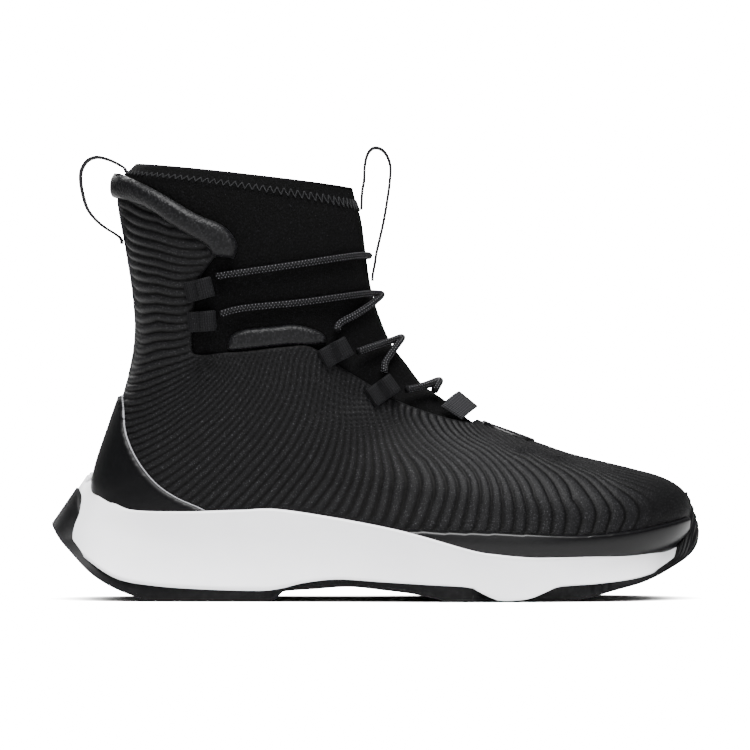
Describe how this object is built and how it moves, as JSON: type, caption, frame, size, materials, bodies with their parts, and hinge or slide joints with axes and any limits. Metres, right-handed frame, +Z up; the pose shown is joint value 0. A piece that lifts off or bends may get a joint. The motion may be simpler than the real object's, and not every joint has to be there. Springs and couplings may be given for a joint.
{
  "type": "sneaker boot",
  "caption": "High sneaker boot for the right foot: ribbed black shell over a knit bootie, cord lacing, webbing pull loops and a sculpted white midsole",
  "frame": {"origin": "on the floor, under the middle of the boot's box", "axes": "+X to the toe, +Y to the inner side of the foot, +Z up"},
  "size_m": [0.2892, 0.1093, 0.2016],
  "materials": {
    "rubber": "matt black moulded rubber",
    "foam": "white moulded foam with a fine skin",
    "knit": "black knit over thin neoprene",
    "ribbed": "black textile with raised ribs",
    "film": "smooth matt black film",
    "band": "satin black band",
    "padded": "padded, fine grained black synthetic leather",
    "insole_foam": "dark textile over foam",
    "webbing": "black woven webbing",
    "cord": "round braided black cord with light flecks"
  },
  "bodies": {
    "root": {"outsole": "rubber", "midsole": "foam", "bootie": "knit", "shell": "ribbed", "heel_counter": "film", "rand": "band", "cuff": "padded", "ankle_lobe_outer": "padded", "ankle_lobe_inner": "padded", "throat_tip": "film", "insole": "insole_foam", "eyelet_top_outer": "webbing", "eyelet_top_inner": "webbing", "eyelet_ankle_outer": "webbing", "eyelet_ankle_inner": "webbing", "eyelet_instep_outer": "webbing", "eyelet_instep_inner": "webbing", "eyelet_throat_outer": "webbing", "eyelet_throat_inner": "webbing", "lace_keeper": "webbing", "lace_bar": "cord", "lace_crossing_ankle": "cord", "lace_crossing_instep": "cord", "lace_crossing_throat": "cord", "pull_loop_front": "webbing", "pull_loop_back": "webbing"}
  },
  "joints": []
}
